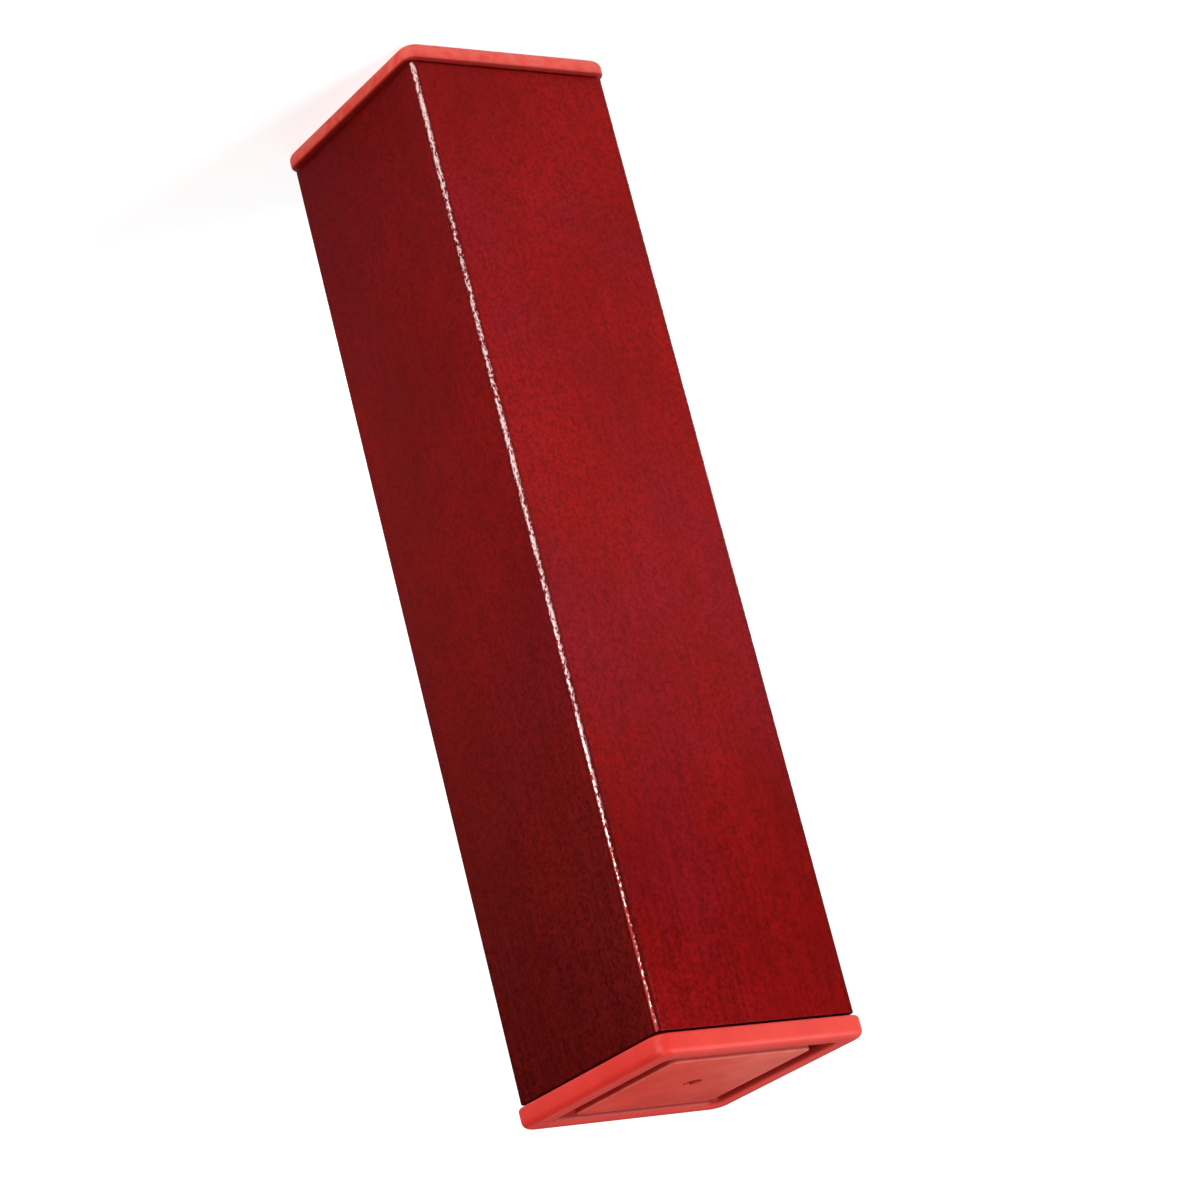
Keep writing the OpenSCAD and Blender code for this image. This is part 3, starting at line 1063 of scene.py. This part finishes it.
def make_film_finish():
    made, tree, shader = new_material("film_clear")
    haze = grain(tree, 260, 3, 4, 4.5)
    # Painted reflection: the film turns opaque pale grey at a slant, and whiter as painted glints along thin
    # crease lines.
    slant = node(tree, "ShaderNodeFresnel", {"IOR": 1.5}).outputs[0]
    ridge = ramp(tree, maths(tree, "ABSOLUTE", grain(tree, 150, 9, 1, 15.0)), 0.0, 0.012, 1.0, 0.0)
    glint = maths(tree, "MULTIPLY", ridge, ramp(tree, haze, -0.1, 0.25))
    cover = maths(tree, "ADD", maths(tree, "MULTIPLY", glint, 0.2), maths(tree, "MULTIPLY", slant, 0.5))
    tree.links.new(maths(tree, "ADD", cover, 0.015, clamp=True), shader.inputs["Alpha"])
    tree.links.new(mix(tree, glint, FILM_SHEEN, FILM_GLINT), shader.inputs["Base Color"])
    tree.links.new(maths(tree, "ADD", 0.12, maths(tree, "MULTIPLY", haze, 0.2)), shader.inputs["Roughness"])
    crease = grain(tree, 420, 2, 3, 12.0)
    bump = node(tree, "ShaderNodeBump", {"Height": crease, "Strength": 0.5, "Distance": 0.15 * MM})
    tree.links.new(bump.outputs["Normal"], shader.inputs["Normal"])
    return made


# %% Foam material
FOAM_DEEP, FOAM_PALE = rgb(0.012, 0.012, 0.013), rgb(0.07, 0.07, 0.075)


def make_foam_finish():
    made, tree, shader = new_material("foam_black")
    place = node(tree, "ShaderNodeTexCoord").outputs["Object"]
    cells = node(tree, "ShaderNodeTexVoronoi", {"Vector": place, "Scale": 2600.0}).outputs["Distance"]
    colour = mix(tree, ramp(tree, cells, 0.1, 0.7), FOAM_DEEP, FOAM_PALE)
    tree.links.new(colour, shader.inputs["Base Color"])
    tree.links.new(ramp(tree, cells, 0.0, 1.0, 0.95, 0.75), shader.inputs["Roughness"])
    pits = {"Height": cells, "Strength": 0.8, "Distance": 0.15 * MM}
    bump = node(tree, "ShaderNodeBump", pits, invert=True)
    tree.links.new(bump.outputs["Normal"], shader.inputs["Normal"])
    return made


# %% Give the inside its finishes
give(make_clay_finish(), clay)
give(make_tray_finish(), tray)
give(make_film_finish(), film)
give(make_foam_finish(), base_cushion, opening_cushion)

# %% [markdown]
# ## Floor, light and camera
# The case stands on a pale floor under soft light. The floor glows a little to the camera, more so
# far off, so that it meets the white backdrop with no horizon. The camera looks down at the case
# from a low height and is rolled almost upside down, so that the opening cap comes nearest and
# lowest in the picture.

# %% Floor
FLOOR_SIZE = 8
FLOOR_GLOW = 0.18
FLOOR_LIFT = 0.45
FAR_LIFT = 0.37
FAR_FROM, FAR_TO = 0.15, 1.0


def make_floor():
    deselect()
    bpy.ops.mesh.primitive_plane_add(size=FLOOR_SIZE, location=(0, 0, cad_lo.z))
    floor = settle(bpy.context.object, "floor")
    made, tree, shader = new_material("floor_white")
    mottle = ramp(tree, grain(tree, 3, 1, 2), -0.4, 0.4)
    paper = mix(tree, mottle, rgb(0.88, 0.88, 0.88), rgb(0.9, 0.9, 0.9))
    tree.links.new(paper, shader.inputs["Base Color"])
    shader.inputs["Roughness"].default_value = 0.9
    shader.inputs["Specular IOR Level"].default_value = 0.1
    shader.inputs["Emission Color"].default_value = rgb(1.0, 1.0, 1.0)
    seen = node(tree, "ShaderNodeLightPath").outputs["Is Camera Ray"]
    where = node(tree, "ShaderNodeTexCoord").outputs["Object"]
    away = node(tree, "ShaderNodeVectorMath", {0: where}, operation="LENGTH").outputs["Value"]
    lift = ramp(tree, away, FAR_FROM, FAR_TO, FLOOR_LIFT, FLOOR_LIFT + FAR_LIFT)
    glow = maths(tree, "ADD", FLOOR_GLOW, maths(tree, "MULTIPLY", seen, lift))
    tree.links.new(glow, shader.inputs["Emission Strength"])
    give(made, floor)
    return floor


make_floor()


# %% Lights
def softbox(name, place, aim, size, power):
    light = bpy.data.lights.new(name, "AREA")
    light.shape = "SQUARE"
    light.size = size
    light.energy = power
    made = bpy.data.objects.new(name, light)
    bpy.context.scene.collection.objects.link(made)
    made.location = place
    made.rotation_euler = (Vector(aim) - Vector(place)).to_track_quat("-Z", "Y").to_euler()
    print(name, size, "m wide,", power, "W")
    return made


MIDDLE = Vector((0, 0, CASE_TOP / 2))
CAMERA_AZIMUTH = -51.13
AROUND = math.radians(CAMERA_AZIMUTH)
AWAY = Vector((-math.sin(AROUND), math.cos(AROUND), 0))
BESIDE = Vector((-math.cos(AROUND), -math.sin(AROUND), 0))
UP = Vector((0, 0, 1))
ROOM_LIGHT = 0.02
world = bpy.data.worlds.new("studio")
bpy.context.scene.world = world
world.use_nodes = True
backdrop = world.node_tree.nodes["Background"]
backdrop.inputs["Color"].default_value = rgb(1.0, 1.0, 1.0)
seen = node(world.node_tree, "ShaderNodeLightPath").outputs["Is Camera Ray"]
strength = maths(world.node_tree, "MAXIMUM", seen, ROOM_LIGHT)
world.node_tree.links.new(strength, backdrop.inputs["Strength"])
softbox("side_light", BESIDE * 0.35 + AWAY * -0.08 + UP * 0.35, BESIDE * 0.2, 0.3, 2.4)
softbox("front_light", AWAY * -0.8 + BESIDE * -0.5 + UP * 0.3, MIDDLE, 0.5, 8.0)
softbox("back_light", AWAY * 1.0 + UP * 1.0, AWAY * 0.3, 1.2, 3.0)
softbox("low_side_light", BESIDE * 1.0 + AWAY * 0.5 + UP * 0.35, MIDDLE, 0.8, 2.6)
bpy.context.scene.view_settings.view_transform = "Standard"


# %% Camera
def make_camera(azimuth, elevation, roll, distance, aim, lens):
    """Azimuth 0 looks along +Y. Roll turns the camera about its own line of sight."""
    a, e = math.radians(azimuth), math.radians(elevation)
    back = Vector((math.sin(a) * math.cos(e), -math.cos(a) * math.cos(e), math.sin(e)))
    level = (-back).to_track_quat("-Z", "Y").to_matrix()
    turned = level @ Matrix.Rotation(math.radians(roll), 3, "Z")
    data = bpy.data.cameras.new("camera")
    data.lens = lens
    data.sensor_width = 36
    data.clip_start = 0.01
    data.clip_end = 20
    made = bpy.data.objects.new("camera", data)
    bpy.context.scene.collection.objects.link(made)
    made.location = aim + back * distance
    made.rotation_euler = turned.to_euler()
    bpy.context.scene.camera = made
    return made


AIM = MIDDLE + Vector((-1.96, 2.45, 3.6)) * MM
CAMERA_ELEVATION = 17.87
CAMERA_ROLL = 165.5
CAMERA_DISTANCE = 395.5 * MM
LENS = 113.6
make_camera(CAMERA_AZIMUTH, CAMERA_ELEVATION, CAMERA_ROLL, CAMERA_DISTANCE, AIM, LENS)
print("camera", [round(v, 4) for v in bpy.context.scene.camera.location], "lens", LENS)
